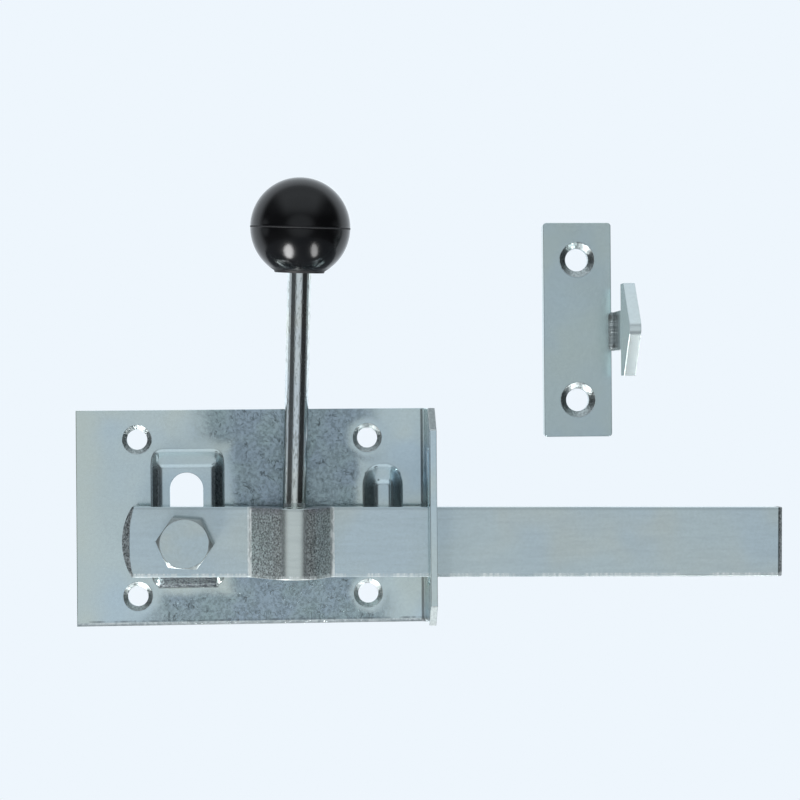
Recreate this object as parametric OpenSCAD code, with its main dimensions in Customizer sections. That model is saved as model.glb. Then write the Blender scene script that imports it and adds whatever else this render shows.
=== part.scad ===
/* [Base plate] */
// Thickness of the sheet that the base plate is pressed from
sheet_t = 3; // [2:0.25:4]
// Height of the base plate
plate_h = 93.5; // [86:0.5:120]
// Distance from the middle of the fixing holes to the plain left edge
plate_left = 76.3; // [66:0.1:100]
// Distance from the middle of the fixing holes to the outside of the flange
plate_right = 78.5; // [75:0.1:100]
// Fixing hole spacing along the bar
hole_span_x = 100; // [90:1:104]
// Fixing hole spacing up the plate
hole_span_z = 68; // [64:1:74]
// Diameter of a fixing hole in the plate
hole_d = 8.8; // [6:0.1:10]
// Diameter of a countersink in the plate
hole_csk_d = 12.8; // [10:0.1:14]
// Included angle of every countersink, as a drill point leaves it
csk_angle = 118; // [90:2:130]
/* [Flange and its window] */
// Distance from the wall to the front edge of the flange
flange_depth = 27; // [25:0.5:34]
// Inside radius of the flange bend
flange_bend_r = 3; // [1:0.25:4]
// Size of the cut-off flange corners
flange_corner = 9; // [4:0.5:12]
// Height of the window that the bar passes through
window_h = 59; // [50:0.5:66]
// Clearance between the bar's faces and the window, front and back
window_clear = 1.8; // [1:0.1:2.4]
// Corner radius of the window
window_r = 1.5; // [0.5:0.25:3]
/* [Pressed boss and rib] */
// Height that the boss and the rib stand out from the plate
press_rise = 8; // [6:0.25:10]
// Slope of the pressed side walls
press_slope = 68; // [55:1:75]
// Outside radius of the pressed shoulders
press_r = 4; // [3.5:0.1:5]
// Distance from the middle of the holes to the boss, leftwards
boss_left = 28.2; // [24:0.1:34]
// Width of the flat top of the boss, across its slot
boss_top_w = 19; // [17.5:0.5:24]
// Height of the flat top of the boss
boss_top_h = 45.5; // [40:0.5:52]
// Run of the sloping ends of the boss and the rib
press_end_run = 6.5; // [5:0.25:10]
// Distance from the middle of the holes to the rib, rightwards
rib_right = 56.6; // [50:0.1:60]
// Width of the flat top of the rib
rib_top_w = 4.4; // [2:0.2:6]
// Height of the flat top of the rib
rib_top_h = 31; // [28:0.5:44]
// Width of the slot that the pivot bolt is set in
slot_w = 14.2; // [13.9:0.1:15]
// Height of the slot, end to end
slot_h = 39.6; // [38:0.2:42]
/* [Pivot] */
// Drop of the pivot below the middle of the plate
pivot_drop = 9.4; // [7:0.1:12]
// Thread diameter of the pivot bolt
bolt_d = 13.8; // [11.8:0.1:13.8]
// Bolt head size across its flats
head_af = 21; // [20:0.5:24]
// Height of the bolt head
head_h = 8.8; // [6:0.1:11]
// Diameter of the flat face inside the head's chamfer
head_face_d = 20.4; // [18:0.1:20.8]
// Turn of the bolt head
head_turn = 5; // [0:1:60]
// Distance from the wall to the end of the bolt
bolt_end = 1; // [0.5:0.1:1.5]
// Outside diameter of the bush that the bar turns on
bush_d = 18; // [17:0.25:19.5]
// Clearance of the bolt in its bush and its nut, on the radius
bush_clear = 0.1; // [0.05:0.01:0.15]
// Running clearance between the bush and the bar, on the radius
pivot_clear = 0.05; // [0.02:0.01:0.09]
// Clearance between the bar and what it slides past, on each face
bar_gap = 0.3; // [0.2:0.05:0.5]
// Thickness of the slide nut behind the boss
nut_t = 6.4; // [5:0.2:7]
// Clearance between the slide nut and the hollow of the boss
nut_clear = 0.6; // [0.3:0.1:1]
/* [Latch bar] */
// Width of the flat bar
bar_w = 30; // [28:0.5:34]
// Thickness of the flat bar
bar_t = 8; // [6:0.25:9]
// Radius of the round tail about the pivot
bar_tail = 27.2; // [24:0.2:32]
// Distance from the pivot to the free end
bar_reach = 258.1; // [230:0.1:290]
// Angle that the bar hangs below level
bar_drop = 0.7; // [0:0.1:1.5]
// Bevel run on the free end of the bar
end_bevel = 2; // [0.5:0.25:3]
// Bevel run on the round tail of the bar
tail_bevel = 3.25; // [0.5:0.25:4]
// Distance from the pivot to the middle of the pressed-out hump
hump_at = 46; // [44:0.25:56]
// Height of the hump
hump_rise = 13; // [12:0.25:16]
// Slope of the hump towards the free end
hump_slope = 58; // [50:1:66]
// Slope of the hump towards the pivot
hump_tail_slope = 45; // [42:1:66]
// Width of the flat crest of the hump
hump_crest = 0.4; // [0.2:0.2:6]
// Inside radius under the crest
hump_in_r = 5.2; // [5.2:0.1:6]
// Radius in the foot of the hump, on the front face
hump_foot_r = 3; // [1.5:0.25:4]
/* [Handle] */
// Diameter of the handle rod
rod_d = 10.2; // [9:0.1:10.6]
// Length of the rod from the top edge of the bar to the middle of the ball
rod_reach = 118.6; // [100:0.2:150]
// Lean of the rod away from the wall
rod_lean = 5.5; // [4:0.1:7]
// Lean of the rod towards the free end of the bar
rod_tilt = 1; // [0:0.1:2]
// Distance that the rod stops above the lower edge of the bar
rod_stop = 4; // [2:0.5:8]
// Clearance between the rod and the crest that it is welded into
rod_gap = 0.3; // [0.2:0.05:0.6]
// Radius of the weld beads beside the rod
rod_bead_r = 2.6; // [2:0.1:3.2]
// Diameter of the ball knob
ball_d = 42; // [38:0.5:50]
// Height of the ball's centre over its flat foot, as a share of its radius
ball_foot = 0.9; // [0.85:0.01:0.95]
// Depth of the rod in the ball past its centre
rod_in_ball = 2; // [0:0.5:6]
// Clearance between the rod and the ball
ball_clear = 0.05; // [0.02:0.01:0.1]
// Height of the moulding line round the ball
seam_h = 0.5; // [0.3:0.1:1]
// Height that the moulding line stands out from the ball
seam_rise = 0.15; // [0.05:0.05:0.3]
/* [Keeper] */
// Distance from the middle of the fixing holes to the middle of the keeper
keeper_right = 142.9; // [136:0.1:180]
// Height of the keeper's middle over the middle of the base plate
keeper_up = 80.6; // [78:0.1:110]
// Width of the keeper plate
keeper_w = 30; // [26:0.5:40]
// Height of the keeper plate
keeper_h = 94; // [84:0.5:110]
// Thickness of the keeper plate
keeper_t = 5; // [4:0.25:6]
// Corner radius of the keeper plate
keeper_r = 1.5; // [0.5:0.25:4]
// Distance between the keeper's fixing holes
keeper_span = 61.6; // [56:0.2:66]
// Diameter of a fixing hole in the keeper
keeper_hole_d = 10; // [8:0.1:11]
// Diameter of a countersink in the keeper
keeper_csk_d = 15.4; // [13:0.1:17]
/* [Keeper hook] */
// Thickness of the hook plate
hook_t = 5; // [4:0.25:6]
// Weld gap between the keeper plate and the hook
hook_gap = 0.8; // [0.4:0.1:1.5]
// Drop of the hook's middle below the keeper's middle
hook_drop = 0.9; // [0:0.1:2]
// Height of the hook's neck
neck_h = 17; // [14:0.5:22]
// Distance from the wall to the back of the hook's head
neck_depth = 21.8; // [21.5:0.1:28]
// Height of the hook's head
hook_h = 39.5; // [36:0.5:46]
// Depth of the head at its two ends
hook_end_depth = 6.5; // [5:0.25:12]
// Depth of the head at its nose
hook_nose_depth = 19.5; // [18:0.25:28]
// Radius of the nose
hook_nose_r = 6; // [2:0.25:8]
// Radius of the weld bead on the keeper
keeper_bead_r = 2; // [1.5:0.1:4]
/* [Hidden] */
$fn = 64;
zinc = "lightsteelblue";
// Overshoot of a cutting shape past the face that it cuts
cut = 1;

boss_front = sheet_t + press_rise;
bar_back = boss_front + bar_gap;
bar_front = bar_back + bar_t;
head_back = bar_front + bar_gap;
crest_back = bar_back + hump_rise;
flange_in = plate_right - sheet_t;
window_back = bar_back - window_clear;
window_front = bar_front + window_clear;
press_side = press_rise / tan(press_slope);
// Shortening of the flat inside a pressed form, because its sheet keeps one thickness
end_pull = 2 * sheet_t * tan(atan(press_rise / press_end_run) / 2);
ball_r = ball_d / 2;
rod_r = rod_d / 2;
rod_seat = crest_back - rod_gap - rod_r / cos(rod_lean);
keeper_edge = keeper_right + keeper_w / 2;
hook_x = keeper_edge + hook_gap;
hook_front = neck_depth + hook_nose_depth;
hook_up = keeper_up - hook_drop;

// Points on an arc, from one angle to another
function arc(middle, r, from, to) =
    let (steps = ceil(abs(to - from) * $fn / 360))
    [for (i = [0:steps]) let (a = from + (to - from) * i / steps) middle + r * [cos(a), sin(a)]];

// Points of the other half of a symmetrical outline, in the order that goes on round it
function mirrored(points) =
    [for (i = [len(points) - 1:-1:0]) [-points[i].x, points[i].y]];

// Section drawn as (x, distance from the wall), made upright
module upright(h) {
    linear_extrude(h, center = true) mirror([0, 1]) children();
}

// Face drawn as (x, z), pulled out from the wall between two distances
module outward(from, to) {
    translate([0, -from, 0]) rotate([90, 0, 0]) linear_extrude(to - from) children();
}

// Side drawn as (distance from the wall, z), pulled along x between two places
module across(from, to) {
    translate([from, 0, 0]) rotate([90, 0, 90]) linear_extrude(to - from) mirror([1, 0]) children();
}

// Round bar that points away from the wall
module peg(d, from, to) {
    outward(from, to) circle(d = d);
}

module rounded_rect(w, h, r) {
    square([w - 2 * r, h], center = true);
    square([w, h - 2 * r], center = true);
    for (x = [-1, 1], z = [-1, 1]) {
        translate([x * (w / 2 - r), z * (h / 2 - r)]) circle(r);
    }
}

module upright_slot(w, h) {
    square([w, h - w], center = true);
    for (z = [-1, 1]) translate([0, z * (h - w) / 2]) circle(d = w);
}

// Hole with a countersink in a plate that lies on the wall
module csk_hole(d, csk_d, t) {
    sink = (csk_d - d) / 2 / tan(csk_angle / 2);
    peg(d, -cut, t + cut);
    translate([0, -t + sink, 0]) rotate([90, 0, 0]) cylinder(d1 = d, d2 = csk_d, h = sink);
    peg(csk_d, t, t + cut);
}

// Area under a pressed form with round shoulders and plain feet, sunk a little into its base line
module press_area(top_w, shoulder_r) {
    foot = top_w / 2 + shoulder_r * tan(press_slope / 2) + press_side + cut / tan(press_slope);
    shoulder = arc([top_w / 2, press_rise - shoulder_r], shoulder_r, 90 - press_slope, 90);
    polygon(concat([[-foot, -cut], [foot, -cut]], shoulder, mirrored(shoulder)));
}

// Solid of a boss or rib that stands out from a plane at the given distance from the wall
module press_form(top_w, top_h, shoulder_r, from) {
    end_slope = press_rise / press_end_run;
    foot_h = top_h / 2 + press_end_run + cut / end_slope;
    foot_w = 2 * (top_w / 2 + shoulder_r + press_side + cut);
    intersection() {
        translate([0, -from, 0]) upright(2 * foot_h) press_area(top_w, shoulder_r);
        across(-foot_w / 2, foot_w / 2) polygon([
            [from - cut, -foot_h],
            [from + press_rise, -top_h / 2],
            [from + press_rise, top_h / 2],
            [from - cut, foot_h]
        ]);
    }
}

module boss_and_rib(shorter, shoulder_r, from) {
    translate([-boss_left, 0, 0]) press_form(boss_top_w, boss_top_h - shorter, shoulder_r, from);
    translate([rib_right, 0, 0]) press_form(rib_top_w, rib_top_h - shorter, shoulder_r, from);
}

// Section of the plate with its bent flange
module plate_section() {
    bend_x = flange_in - flange_bend_r;
    bend_w = sheet_t + flange_bend_r;
    translate([-plate_left, 0]) square([plate_left + bend_x, sheet_t]);
    translate([flange_in, bend_w]) square([sheet_t, flange_depth - bend_w]);
    translate([bend_x, bend_w]) intersection() {
        difference() {
            circle(bend_w);
            circle(flange_bend_r);
        }
        translate([0, -bend_w]) square(bend_w);
    }
}

// The hollow behind the boss and the rib lies one sheet thickness inside them
module base_plate() {
    color(zinc) difference() {
        union() {
            upright(plate_h) plate_section();
            boss_and_rib(0, press_r, sheet_t);
        }
        boss_and_rib(end_pull, press_r - sheet_t, 0);
        translate([-boss_left, 0, 0]) outward(-cut, boss_front + cut) upright_slot(slot_w, slot_h);
        for (x = [-1, 1], z = [-1, 1]) {
            translate([x * hole_span_x / 2, 0, z * hole_span_z / 2]) csk_hole(hole_d, hole_csk_d, sheet_t);
        }
        across(flange_in - cut, plate_right + cut)
            translate([(window_back + window_front) / 2, 0])
                rounded_rect(window_front - window_back, window_h, window_r);
        for (side = [0, 1]) mirror([0, 0, side]) across(flange_in - cut, plate_right + cut) polygon([
            [flange_depth + cut, plate_h / 2 - flange_corner - cut],
            [flange_depth + cut, plate_h / 2 + cut],
            [flange_depth - flange_corner - cut, plate_h / 2 + cut]
        ]);
    }
}

// Places what is drawn round the pivot in the base plate's frame
module at_pivot() {
    translate([-boss_left, 0, -pivot_drop]) children();
}

// Places what is drawn on a level bar at the angle that the bar hangs
module on_bar() {
    at_pivot() rotate([0, bar_drop, 0]) children();
}

module bolt_head() {
    head_r = head_af / 2 / cos(30);
    cone_r = head_r + cut;
    cone_h = (cone_r - head_face_d / 2) * tan(30);
    translate([0, -head_back, 0]) rotate([90, head_turn, 0]) intersection() {
        cylinder(r = head_r, h = head_h, $fn = 6);
        union() {
            cylinder(r = cone_r, h = head_h - cone_h);
            translate([0, 0, head_h - cone_h]) cylinder(r1 = cone_r, d2 = head_face_d, h = cone_h);
        }
    }
}

module pivot_bolt() {
    color(zinc) at_pivot() {
        bolt_head();
        peg(bolt_d, bolt_end, head_back + cut);
    }
}

module pivot_bush() {
    color(zinc) at_pivot() outward(boss_front, head_back) difference() {
        circle(d = bush_d);
        circle(d = bolt_d + 2 * bush_clear);
    }
}

// Oblong nut, too wide to turn between the boss walls
module pivot_nut() {
    nut_w = boss_top_w - 2 * nut_clear;
    nut_h = boss_top_h - end_pull - 2 * (pivot_drop + nut_clear);
    color(zinc) at_pivot() outward(press_rise - nut_t, press_rise) difference() {
        square([nut_w, nut_h], center = true);
        circle(d = bolt_d + 2 * bush_clear);
    }
}

// Centres of the bends at the crest and at the foot of the hump
crest_bend = [hump_crest / 2, hump_rise - hump_in_r];
function foot_bend(slope) =
    let (bends_r = hump_in_r + bar_t + hump_foot_r)
    let (straight_rise = hump_rise - bends_r * (1 - cos(slope)))
    [crest_bend.x + bends_r * sin(slope) + straight_rise / tan(slope), hump_foot_r + bar_t];

// One side of the hump, from its crest down the front and back up behind
function hump_front(slope) = concat(
    arc(crest_bend, hump_in_r + bar_t, 90, 90 - slope),
    arc(foot_bend(slope), hump_foot_r, 270 - slope, 270)
);
function hump_back(slope) = concat(
    arc(foot_bend(slope), hump_foot_r + bar_t, 270, 270 - slope),
    arc(crest_bend, hump_in_r, 90 - slope, 90)
);

// Section of the bar about the middle of its hump, with the bevels on the front of both ends
module bar_section() {
    left = -bar_tail - hump_at;
    right = bar_reach - hump_at;
    polygon(concat(
        hump_front(hump_slope),
        [[right - end_bevel, bar_t], [right, bar_t - end_bevel], [right, 0]],
        hump_back(hump_slope),
        mirrored(hump_back(hump_tail_slope)),
        [[left, 0], [left, bar_t - tail_bevel], [left + tail_bevel, bar_t]],
        mirrored(hump_front(hump_tail_slope))
    ));
}

// Bar with the hump that the rod is welded into, and a round tail
module bar_solid() {
    intersection() {
        translate([hump_at, -bar_back, 0]) upright(bar_w) bar_section();
        outward(0, crest_back + bar_t + cut) {
            circle(bar_tail);
            translate([0, -bar_w / 2]) square([bar_reach, bar_w]);
        }
    }
}

module latch_bar() {
    color(zinc) on_bar() difference() {
        bar_solid();
        peg(bush_d + 2 * pivot_clear, 0, bar_front + cut);
    }
}

// Places what is drawn on the rod's own axis, counted from the top edge of the bar
module on_rod() {
    translate([hump_at, -rod_seat, bar_w / 2]) rotate([rod_lean, rod_tilt, 0]) children();
}

module rod_solid() {
    low = (bar_w - rod_stop) / cos(rod_lean);
    on_rod() translate([0, 0, -low]) cylinder(r = rod_r, h = low + rod_reach + rod_in_ball);
}

module handle_rod() {
    color("silver") on_bar() rod_solid();
}

// Two beads that fill the corners between the rod and the hollow of the hump
module rod_weld() {
    bead_h = bar_w - 2 * rod_stop;
    color("gray") on_bar() difference() {
        for (side = [-1, 1]) {
            translate([hump_at + side * (rod_r + rod_bead_r / 2), -rod_seat, 0])
                cylinder(r = rod_bead_r, h = bead_h, center = true);
        }
        rod_solid();
        bar_solid();
    }
}

module ball_knob() {
    color("#151515") on_bar() on_rod() translate([0, 0, rod_reach]) rotate_extrude() difference() {
        union() {
            circle(ball_r);
            translate([0, -seam_h / 2]) square([ball_r + seam_rise, seam_h]);
        }
        translate([-2 * ball_r, -2 * ball_r]) square([2 * ball_r, 4 * ball_r]);
        translate([0, -2 * ball_r]) square([2 * ball_r, (2 - ball_foot) * ball_r]);
        translate([-cut, -ball_r]) square([cut + rod_r + ball_clear, ball_r + rod_in_ball + ball_clear]);
    }
}

module keeper_plate() {
    color(zinc) translate([keeper_right, 0, keeper_up]) difference() {
        outward(0, keeper_t) rounded_rect(keeper_w, keeper_h, keeper_r);
        for (z = [-1, 1]) {
            translate([0, 0, z * keeper_span / 2]) csk_hole(keeper_hole_d, keeper_csk_d, keeper_t);
        }
    }
}

// Side of the hook: a neck on the wall plane, and a head with two ramps that meet in a round nose
module hook_side() {
    end_front = neck_depth + hook_end_depth;
    nose = [hook_front - hook_nose_r, 0];
    ramp_run = [nose.x - end_front, hook_h / 2];
    ramp = atan(ramp_run.x / ramp_run.y) + asin(hook_nose_r / norm(ramp_run));
    translate([0, -neck_h / 2]) square([neck_depth + cut, neck_h]);
    polygon(concat(
        [[neck_depth, -hook_h / 2], [end_front, -hook_h / 2]],
        arc(nose, hook_nose_r, -ramp, ramp),
        [[end_front, hook_h / 2], [neck_depth, hook_h / 2]]
    ));
}

module keeper_hook() {
    color(zinc) translate([0, 0, hook_up]) across(hook_x, hook_x + hook_t) hook_side();
}

// Bead that fills the gap between the keeper plate and the neck, and rounds the corner in front
module keeper_weld() {
    color("gray") translate([0, 0, hook_up]) {
        upright(neck_h) translate([keeper_edge, 0]) square([hook_gap, keeper_t]);
        upright(neck_h) intersection() {
            translate([hook_x, keeper_t]) circle(keeper_bead_r);
            translate([hook_x - keeper_bead_r, keeper_t]) square(keeper_bead_r);
        }
    }
}

base_plate();
pivot_bolt();
pivot_bush();
pivot_nut();
latch_bar();
handle_rod();
rod_weld();
ball_knob();
keeper_plate();
keeper_hook();
keeper_weld();
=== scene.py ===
import math

import bmesh
import bpy
from mathutils import Matrix, Vector


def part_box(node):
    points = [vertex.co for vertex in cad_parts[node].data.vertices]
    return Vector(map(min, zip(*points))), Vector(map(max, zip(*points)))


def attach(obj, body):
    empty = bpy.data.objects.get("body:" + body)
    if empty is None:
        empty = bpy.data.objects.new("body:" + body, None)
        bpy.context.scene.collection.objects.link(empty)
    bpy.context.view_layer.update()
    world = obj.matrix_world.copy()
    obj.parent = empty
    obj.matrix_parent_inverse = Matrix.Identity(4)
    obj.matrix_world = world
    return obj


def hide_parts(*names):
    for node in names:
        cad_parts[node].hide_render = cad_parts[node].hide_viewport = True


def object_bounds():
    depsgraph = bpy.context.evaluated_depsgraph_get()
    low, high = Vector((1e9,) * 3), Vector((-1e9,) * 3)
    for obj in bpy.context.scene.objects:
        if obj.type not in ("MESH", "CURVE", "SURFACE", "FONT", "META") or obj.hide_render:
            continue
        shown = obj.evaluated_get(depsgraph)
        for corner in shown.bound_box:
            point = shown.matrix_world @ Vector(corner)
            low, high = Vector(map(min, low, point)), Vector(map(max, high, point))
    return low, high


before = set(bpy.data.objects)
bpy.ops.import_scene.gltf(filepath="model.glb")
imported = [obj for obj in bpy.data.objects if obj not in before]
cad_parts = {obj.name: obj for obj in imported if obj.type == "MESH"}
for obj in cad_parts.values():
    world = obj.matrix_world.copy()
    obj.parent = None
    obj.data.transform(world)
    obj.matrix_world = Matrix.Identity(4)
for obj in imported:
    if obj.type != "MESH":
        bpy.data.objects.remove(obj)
cad_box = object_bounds()

MM = 0.001

# Camera: the photograph's angle on the wall plane, from a little left of the plate
CAMERA_AIM = Vector((64.7, 0.0, 50.3)) * MM
CAMERA_DISTANCE = 732 * MM
CAMERA_YAW = math.radians(3.5)
CAMERA_ROLL = math.radians(0.45)
SENSOR = 36.0
LENS = 74.9

# Studio, in metres
PALE = (0.855, 0.921, 0.982, 1)
FLOOR_TONE = (0.25, 0.27, 0.29, 1)
FLOOR_DROP = 1.4
FLOOR_RADIUS = 3.0
SOFTBOX_DISTANCE = 1.4
SOFTBOX_HEIGHT = 0.9
SOFTBOX_TURN = math.radians(38)

# Share of the light that the plating mirrors: the rest is scattered, so that it is grey from every side
MIRRORED = 0.8

# Base plate sheet, in millimetres
SHEET = 3.0
PLATE_LEFT = -76.3
PLATE_RIGHT = 78.5
PLATE_HALF_H = 46.75
BEND_R = 3.0
BEND_X = PLATE_RIGHT - SHEET - BEND_R
FLANGE_DEPTH = 27.0
FLANGE_CORNER = 9.0
# Roll of the sheared edges: how far in from the edge, and how deep
EDGE_ROLL = (0.5, 0.4)
LOWER_ROLL = (1.9, 0.22)
BACK_EDGE = 0.2

# Pressed forms of the base plate, in millimetres: each wall has a slope, a shoulder radius and a foot radius
PRESS_RISE = 8.0


def pressed_wall(degrees, shoulder, foot):
    """Slope, radii and whole run of a pressed wall."""
    slope = math.radians(degrees)
    run = (shoulder + foot) * math.tan(slope / 2) + PRESS_RISE / math.tan(slope)
    return {"slope": slope, "shoulder": shoulder, "foot": foot, "run": run}


BOSS = {"x": -28.2, "half_w": 9.5, "half_h": 21.0, "corner": 3.0,
        "side": pressed_wall(68, 4.0, 1.2), "end": pressed_wall(50, 3.4, 3.0)}
RIB = {"x": 56.6, "half_w": 1.3, "half_h": 12.8, "corner": 2.0,
       "side": pressed_wall(60, 4.0, 1.8), "end": pressed_wall(48, 4.5, 3.0)}

# Holes of the base plate, in millimetres
HOLE_X = 50.0
HOLE_Z = 34.0
HOLE_R = 4.4
CSK_R = 6.4
CSK_HALF_ANGLE = math.radians(59)
SLOT_R = 7.1
SLOT_HALF = 12.7
WINDOW_MIDDLE = 15.3
WINDOW_HALF_W = 5.8
WINDOW_HALF_H = 29.5
WINDOW_R = 1.5

# Handle, in millimetres and degrees
PIVOT_DROP = 9.4
HUMP_X = 17.8
BALL_R = 21.0
BALL_FOOT = 0.9
SEAM_RISE = 0.15
SEAM_HALF = 0.3
FOOT_RIM = 10.5
ROD_R = 5.1
BAR_DROP = math.radians(0.7)
ROD_LEAN = math.radians(5.5)
ROD_TILT = math.radians(1.0)
BAR_FRONT = 19.3
# Bevel round the bar's tail: where its inner edge lies, the radius of that edge's wide curve, and how far
# it runs to either side
TAIL_EDGE = -52.0
TAIL_CURVE = 57.0
TAIL_SWEEP = math.radians(18)

# Keeper, in millimetres
KEEPER_X = 142.9
KEEPER_Z = 80.6
KEEPER_HOLE = 30.8

# Weld runs, as pairs of end points in millimetres
KEEPER_BEADS = [((158.3, -5.0, 73.0), (158.3, -5.0, 86.4)), ((158.3, -2.2, 73.2), (158.3, -2.2, 86.2))]
ROD_BEADS = [((11.15, -18.88, -18.6), (11.4, -18.88, 0.6)), ((23.95, -18.88, -18.8), (24.2, -18.88, 0.4))]


def spread(low, high, count):
    """Evenly spaced values from low to high, both included."""
    return [low + (high - low) * i / (count - 1) for i in range(count)]


def add(tree, kind, inputs=None, **settings):
    """Adds a shader node. inputs maps a socket's name or number to a value or to another node's output."""
    made = tree.nodes.new(kind)
    for name, value in settings.items():
        setattr(made, name, value)
    for key, value in (inputs or {}).items():
        if isinstance(value, bpy.types.NodeSocket):
            tree.links.new(value, made.inputs[key])
        else:
            made.inputs[key].default_value = value
    return made


def calc(tree, operation, *values, clamp=False):
    """Output of a Math node."""
    made = add(tree, "ShaderNodeMath", dict(enumerate(values)), operation=operation, use_clamp=clamp)
    return made.outputs[0]


def times(tree, *values):
    """Product of several values."""
    product = values[0]
    for value in values[1:]:
        product = calc(tree, "MULTIPLY", product, value)
    return product


def most(tree, *values):
    """Greatest of several values."""
    greatest = values[0]
    for value in values[1:]:
        greatest = calc(tree, "MAXIMUM", greatest, value)
    return greatest


def length_of(tree, aside, above):
    """Length of a step to the side and up."""
    return calc(tree, "SQRT", calc(tree, "ADD", times(tree, aside, aside), times(tree, above, above)))


def ramp_between(tree, value, low, high, to_low=0.0, to_high=1.0):
    """Value carried smoothly from one range to another."""
    inputs = {"Value": value, "From Min": low, "From Max": high, "To Min": to_low, "To Max": to_high}
    return add(tree, "ShaderNodeMapRange", inputs, interpolation_type="SMOOTHSTEP").outputs["Result"]


def band(tree, value, start, full, fade, end):
    """1 from full to fade, and 0 before start and after end, in millimetres."""
    rising = ramp_between(tree, value, start * MM, full * MM)
    return times(tree, rising, ramp_between(tree, value, end * MM, fade * MM))


def blend(tree, amount, low, high):
    """Colour between two colours."""
    made = tree.nodes.new("ShaderNodeMix")
    made.data_type = "RGBA"
    for socket, value in ((made.inputs[0], amount), (made.inputs[6], low), (made.inputs[7], high)):
        if isinstance(value, bpy.types.NodeSocket):
            tree.links.new(value, socket)
        else:
            socket.default_value = value
    return made.outputs[2]


def noise_value(tree, place, scale, detail=2.0, rough=0.5, distortion=0.0):
    """Value of a noise at a place."""
    inputs = {"Vector": place, "Scale": scale, "Detail": detail, "Roughness": rough, "Distortion": distortion}
    return add(tree, "ShaderNodeTexNoise", inputs).outputs["Fac"]


def moved(tree, place, shift=(0, 0, 0), scale=(1, 1, 1)):
    """Coordinates shifted and stretched."""
    inputs = {"Vector": place, "Location": shift, "Scale": scale}
    return add(tree, "ShaderNodeMapping", inputs).outputs["Vector"]


def object_place(tree):
    """Object coordinates, whole and as x, y and z."""
    place = add(tree, "ShaderNodeTexCoord").outputs["Object"]
    axes = add(tree, "ShaderNodeSeparateXYZ", {"Vector": place})
    return place, axes.outputs["X"], axes.outputs["Y"], axes.outputs["Z"]


def seen_or_lit(tree, seen, lit):
    """Shader that shows one node's shader to the camera and another's to every other ray."""
    to_camera = add(tree, "ShaderNodeLightPath").outputs["Is Camera Ray"]
    return add(tree, "ShaderNodeMixShader", {0: to_camera, 1: lit.outputs[0], 2: seen.outputs[0]}).outputs[0]


def make_camera():
    """Camera level with the part and a little to its left, as the photograph was taken."""
    data = bpy.data.cameras.new("camera")
    data.sensor_width = SENSOR
    data.lens = LENS
    camera = bpy.data.objects.new("camera", data)
    bpy.context.scene.collection.objects.link(camera)
    ahead = Vector((math.sin(CAMERA_YAW), math.cos(CAMERA_YAW), 0))
    camera.location = CAMERA_AIM - ahead * CAMERA_DISTANCE
    turn = ahead.to_track_quat("-Z", "Y").to_matrix() @ Matrix.Rotation(-CAMERA_ROLL, 3, "Z")
    camera.rotation_euler = turn.to_euler()
    data.clip_end = 20
    bpy.context.scene.camera = camera


def make_world():
    """Pale backdrop, with a lit ceiling, a lit front and dark sides for the metal to show."""
    world = bpy.data.worlds.new("studio")
    bpy.context.scene.world = world
    world.use_nodes = True
    tree = world.node_tree
    tree.nodes.clear()
    ray = add(tree, "ShaderNodeTexCoord").outputs["Generated"]
    axes = add(tree, "ShaderNodeSeparateXYZ", {"Vector": ray})
    x, y, z = axes.outputs["X"], axes.outputs["Y"], axes.outputs["Z"]
    overhead = times(tree, ramp_between(tree, calc(tree, "ABSOLUTE", x), 0.80, 0.45, 0.2, 1.0),
                     ramp_between(tree, y, -0.30, 0.12, 0.92, 0.66))
    lit = (
        ramp_between(tree, x, -0.3, 0.3, 0.05, 0.012),
        ramp_between(tree, x, -0.95, -0.995, 0.0, 0.48),
        ramp_between(tree, x, 0.97, 0.998, 0.0, 0.20),
        ramp_between(tree, y, -0.77, -0.97, 0.0, 0.63),
        ramp_between(tree, y, 0.02, 0.42, 0.0, 1.15),
        times(tree, overhead, ramp_between(tree, z, 0.15, 0.75)),
    )
    studio = add(tree, "ShaderNodeBackground", {"Color": PALE, "Strength": most(tree, *lit)})
    backdrop = add(tree, "ShaderNodeBackground", {"Color": PALE, "Strength": 1.0})
    add(tree, "ShaderNodeOutputWorld", {"Surface": seen_or_lit(tree, backdrop, studio)})


def make_floor():
    """Pale floor below the part, of the backdrop's tone where it is seen."""
    lowest, highest = cad_box
    middle = (lowest + highest) / 2
    mesh = bpy.data.meshes.new("floor")
    disc = bmesh.new()
    bmesh.ops.create_circle(disc, cap_ends=True, radius=FLOOR_RADIUS, segments=96)
    bmesh.ops.translate(disc, verts=disc.verts, vec=(middle.x, middle.y, lowest.z - FLOOR_DROP))
    disc.to_mesh(mesh)
    disc.free()
    floor = bpy.data.objects.new("floor", mesh)
    bpy.context.scene.collection.objects.link(floor)
    material = bpy.data.materials.new("pale_floor")
    material.use_nodes = True
    tree = material.node_tree
    tree.nodes.clear()
    matt = add(tree, "ShaderNodeBsdfDiffuse", {"Color": FLOOR_TONE})
    glow = add(tree, "ShaderNodeEmission", {"Color": PALE, "Strength": 1.0})
    add(tree, "ShaderNodeOutputMaterial", {"Surface": seen_or_lit(tree, glow, matt)})
    mesh.materials.append(material)


def make_softbox(name, at, towards, width, height, watts, turn):
    """Oval lamp that faces a place, turned about its own axis."""
    data = bpy.data.lights.new(name, "AREA")
    data.shape = "ELLIPSE"
    data.size = width
    data.size_y = height
    data.energy = watts
    lamp = bpy.data.objects.new(name, data)
    bpy.context.scene.collection.objects.link(lamp)
    lamp.location = at
    aim = (towards - at).to_track_quat("-Z", "Y").to_matrix()
    lamp.rotation_euler = (aim @ Matrix.Rotation(turn, 3, "Z")).to_euler()
    lamp.visible_camera = False


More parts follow.
